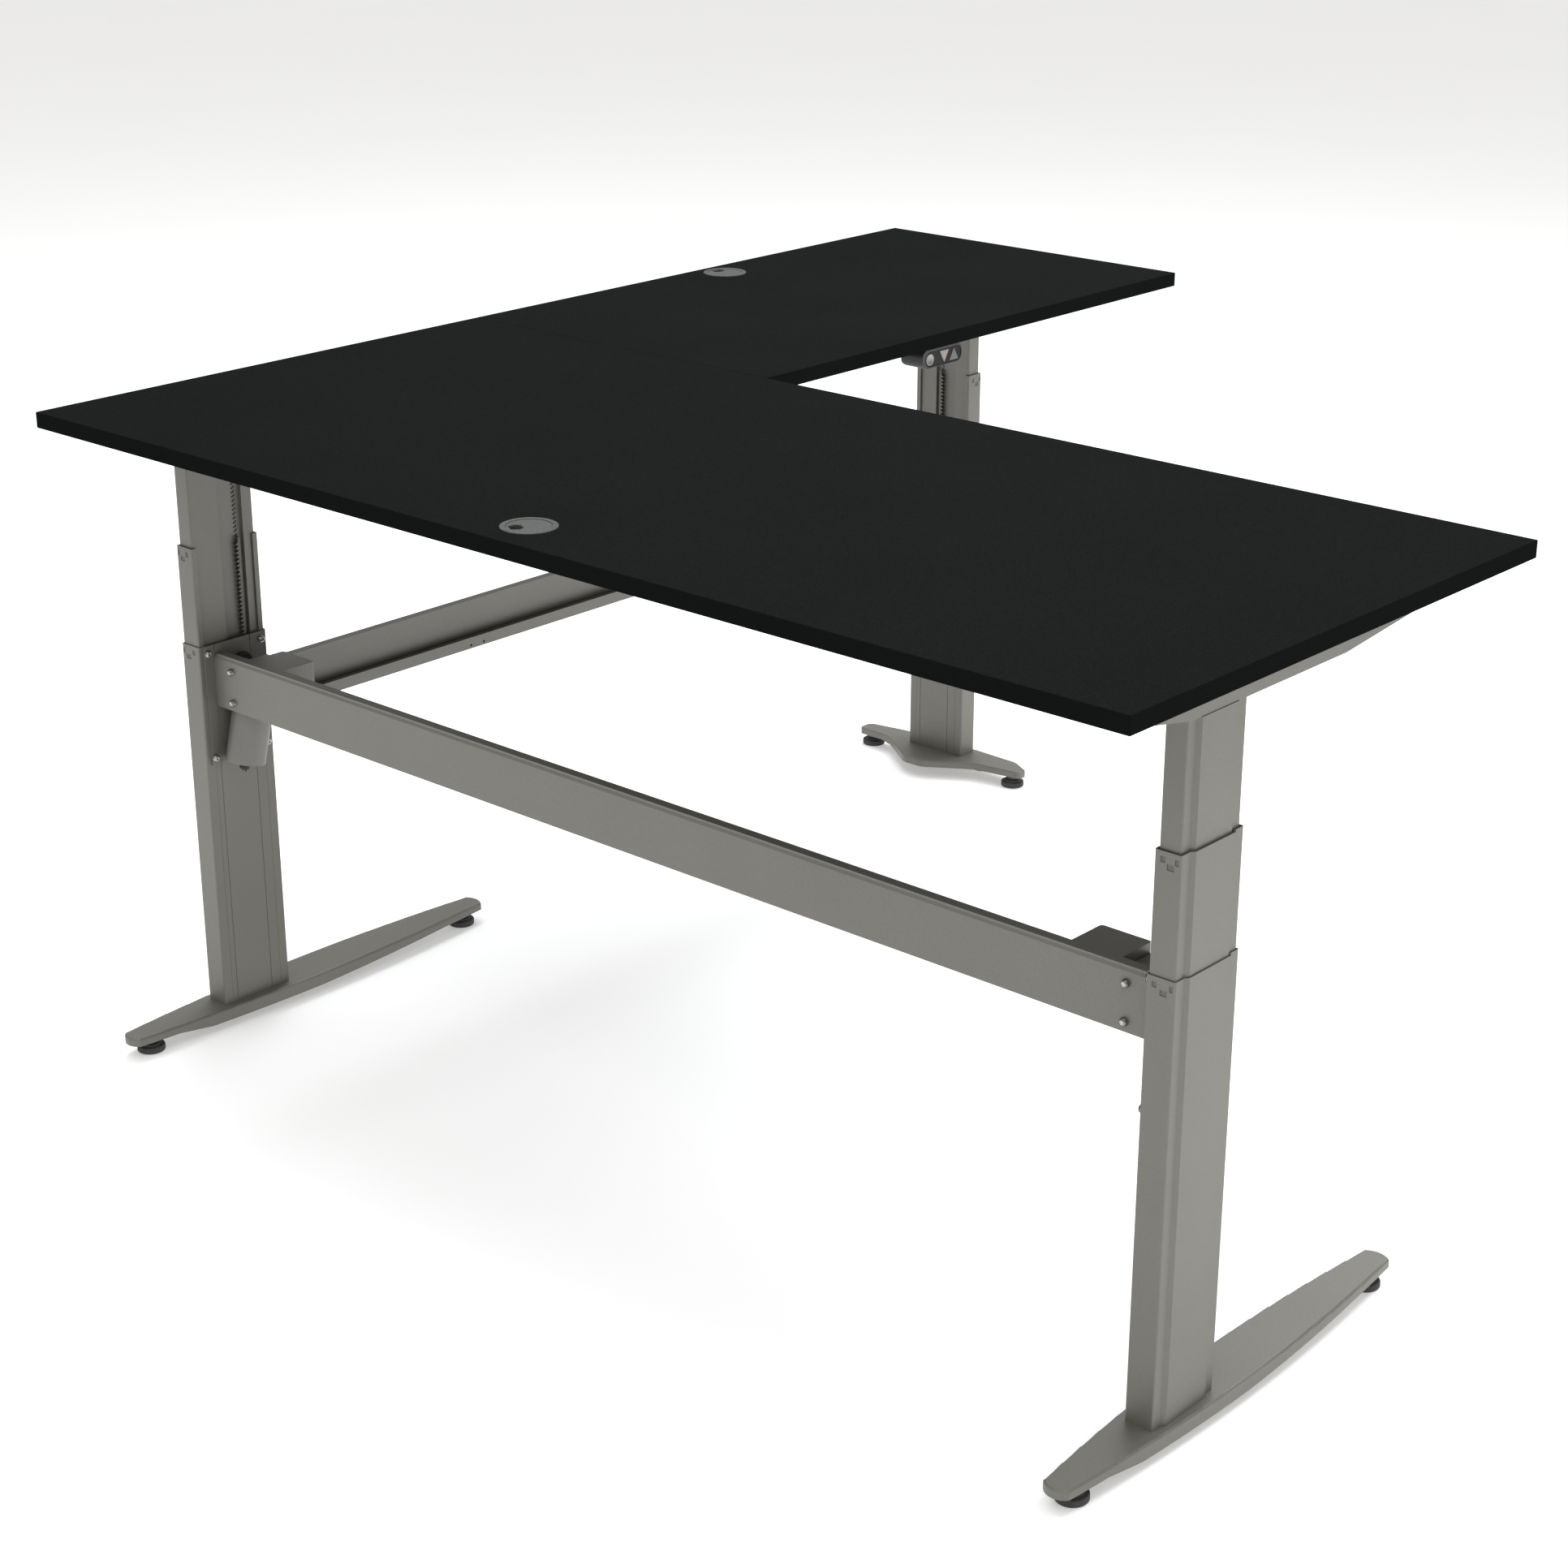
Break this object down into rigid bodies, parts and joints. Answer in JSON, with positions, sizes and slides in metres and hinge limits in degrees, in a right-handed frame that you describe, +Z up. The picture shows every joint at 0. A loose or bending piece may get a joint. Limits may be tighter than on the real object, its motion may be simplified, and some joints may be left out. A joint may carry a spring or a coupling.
{
  "type": "height adjustable corner desk",
  "caption": "L-shaped electric sit-stand desk: two butted tops on telescopic columns with long feet, crossbeams, motors and a push-button handset.",
  "frame": {"origin": "on the floor, under the centre of the box round both tops", "axes": "+Z up; +X along the main top from the side top towards the far column; +Y from the rear edge towards the user"},
  "size_m": [1.8, 1.8, 0.9496],
  "materials": {
    "desktop_laminate": "satin fine-grained charcoal laminate",
    "frame_silver": "satin fine-textured silver powder coat",
    "motor_silver": "satin silver paint",
    "gear_steel": "machined",
    "screw_steel": "bright zinc plated",
    "plate_steel": "zinc plated",
    "glide_plastic": "satin",
    "pad_plastic": "matte moulded",
    "black_plastic": "matte moulded",
    "grommet_grey": "fine-textured satin",
    "case_dark": "fine-textured satin",
    "panel_gloss": "satin film",
    "button_grey": "soft satin",
    "button_rose": "soft satin",
    "button_metal": "bright"
  },
  "bodies": {
    "base": {"beam_block_left": "frame_silver", "beam_block_right": "frame_silver", "bearing_caps": "black_plastic", "crossbeam_main": "frame_silver", "crossbeam_side": "frame_silver", "foot_left": "frame_silver", "foot_right": "frame_silver", "foot_side": "frame_silver", "frame_screws": "screw_steel", "gear_plates": "frame_silver", "gearbox_left": "frame_silver", "gearbox_right": "frame_silver", "gearbox_side": "frame_silver", "lower_glides": "glide_plastic", "lower_tube_left": "frame_silver", "lower_tube_right": "frame_silver", "lower_tube_side": "frame_silver", "motor_left": "motor_silver", "motor_side": "motor_silver", "motor_sockets": "black_plastic", "tube_covers": "frame_silver"},
    "desk": {"control_box": "case_dark", "grommet_rings": "grommet_grey", "handset_case": "case_dark", "handset_panel": "panel_gloss", "joining_plates": "plate_steel", "main_desktop": "desktop_laminate", "side_desktop": "desktop_laminate", "support_arm_left": "frame_silver", "support_arm_right": "frame_silver", "support_arm_side": "frame_silver", "top_screws": "screw_steel", "upper_racks": "gear_steel", "upper_tube_left": "frame_silver", "upper_tube_right": "frame_silver", "upper_tube_side": "frame_silver"},
    "button_down_body": {"button_down": "button_rose"},
    "button_ring_body": {"button_ring": "button_metal"},
    "button_up_body": {"button_up": "button_grey"},
    "grommet_lid_main_body": {"grommet_lid_main": "grommet_grey"},
    "grommet_lid_side_body": {"grommet_lid_side": "grommet_grey"},
    "levelling_foot_left_front_body": {"levelling_foot_left_front": "pad_plastic"},
    "levelling_foot_left_rear_body": {"levelling_foot_left_rear": "pad_plastic"},
    "levelling_foot_right_front_body": {"levelling_foot_right_front": "pad_plastic"},
    "levelling_foot_right_rear_body": {"levelling_foot_right_rear": "pad_plastic"},
    "levelling_foot_side_inner_body": {"levelling_foot_side_inner": "pad_plastic"},
    "levelling_foot_side_outer_body": {"levelling_foot_side_outer": "pad_plastic"},
    "middle_left": {"middle_glides_left": "glide_plastic", "middle_rack_left": "gear_steel", "middle_tube_left": "frame_silver"},
    "middle_right": {"middle_glides_right": "glide_plastic", "middle_rack_right": "gear_steel", "middle_tube_right": "frame_silver"},
    "middle_side": {"middle_glides_side": "glide_plastic", "middle_rack_side": "gear_steel", "middle_tube_side": "frame_silver"},
    "pinion_left_body": {"pinion_left": "gear_steel", "cross_shaft": "gear_steel"},
    "pinion_right_body": {"pinion_right": "gear_steel"},
    "pinion_side_body": {"pinion_side": "gear_steel"}
  },
  "joints": [
    {"name": "lift", "type": "slide", "parent": "base", "child": "desk", "axis": [0, 0, 1], "range_m": [-0.29, 0.31]},
    {"name": "stage_left", "type": "slide", "parent": "base", "child": "middle_left", "axis": [0, 0, 1], "range_m": [-0.146, 0.156]},
    {"name": "stage_right", "type": "slide", "parent": "base", "child": "middle_right", "axis": [0, 0, 1], "range_m": [-0.146, 0.156]},
    {"name": "stage_side", "type": "slide", "parent": "base", "child": "middle_side", "axis": [0, 0, 1], "range_m": [-0.146, 0.156]},
    {"name": "pinion_turn_left", "type": "hinge", "parent": "base", "child": "pinion_left_body", "pos_m": [-0.803, -0.6565, 0.55], "axis": [1, 0, 0], "range_deg": [-693.32, 741.07]},
    {"name": "pinion_turn_right", "type": "hinge", "parent": "base", "child": "pinion_right_body", "pos_m": [0.803, -0.6565, 0.55], "axis": [1, 0, 0], "range_deg": [-693.32, 741.07]},
    {"name": "pinion_turn_side", "type": "hinge", "parent": "base", "child": "pinion_side_body", "pos_m": [-0.707, 0.802, 0.55], "axis": [0, 1, 0], "range_deg": [-693.32, 741.07]},
    {"name": "level_left_front", "type": "slide", "parent": "base", "child": "levelling_foot_left_front_body", "axis": [0, 0, -1], "range_m": [0, 0.005]},
    {"name": "level_left_rear", "type": "slide", "parent": "base", "child": "levelling_foot_left_rear_body", "axis": [0, 0, -1], "range_m": [0, 0.005]},
    {"name": "level_right_front", "type": "slide", "parent": "base", "child": "levelling_foot_right_front_body", "axis": [0, 0, -1], "range_m": [0, 0.005]},
    {"name": "level_right_rear", "type": "slide", "parent": "base", "child": "levelling_foot_right_rear_body", "axis": [0, 0, -1], "range_m": [0, 0.005]},
    {"name": "level_side_inner", "type": "slide", "parent": "base", "child": "levelling_foot_side_inner_body", "axis": [0, 0, -1], "range_m": [0, 0.005]},
    {"name": "level_side_outer", "type": "slide", "parent": "base", "child": "levelling_foot_side_outer_body", "axis": [0, 0, -1], "range_m": [0, 0.005]},
    {"name": "lid_turn_main", "type": "hinge", "parent": "desk", "child": "grommet_lid_main_body", "pos_m": [-0.004, -0.838, 0.948], "axis": [0, 0, 1], "continuous": true},
    {"name": "lid_turn_side", "type": "hinge", "parent": "desk", "child": "grommet_lid_side_body", "pos_m": [-0.85, 0.405, 0.948], "axis": [0, 0, 1], "continuous": true},
    {"name": "press_ring", "type": "slide", "parent": "desk", "child": "button_ring_body", "axis": [-1, 0, 0], "range_m": [0, 0.0008], "stiffness_N_per_m": 400, "springref_m": -0.001},
    {"name": "press_down", "type": "slide", "parent": "desk", "child": "button_down_body", "axis": [-1, 0, 0], "range_m": [0, 0.0008], "stiffness_N_per_m": 400, "springref_m": -0.001},
    {"name": "press_up", "type": "slide", "parent": "desk", "child": "button_up_body", "axis": [-1, 0, 0], "range_m": [0, 0.0008], "stiffness_N_per_m": 400, "springref_m": -0.001}
  ],
  "couplings": [
    {"joint": "stage_left", "follows": "lift", "ratio": 0.5},
    {"joint": "stage_right", "follows": "lift", "ratio": 0.5},
    {"joint": "stage_side", "follows": "lift", "ratio": 0.5},
    {"joint": "pinion_turn_left", "follows": "lift", "rad_per_m": 41.667},
    {"joint": "pinion_turn_right", "follows": "lift", "rad_per_m": 41.667},
    {"joint": "pinion_turn_side", "follows": "lift", "rad_per_m": 41.667}
  ]
}
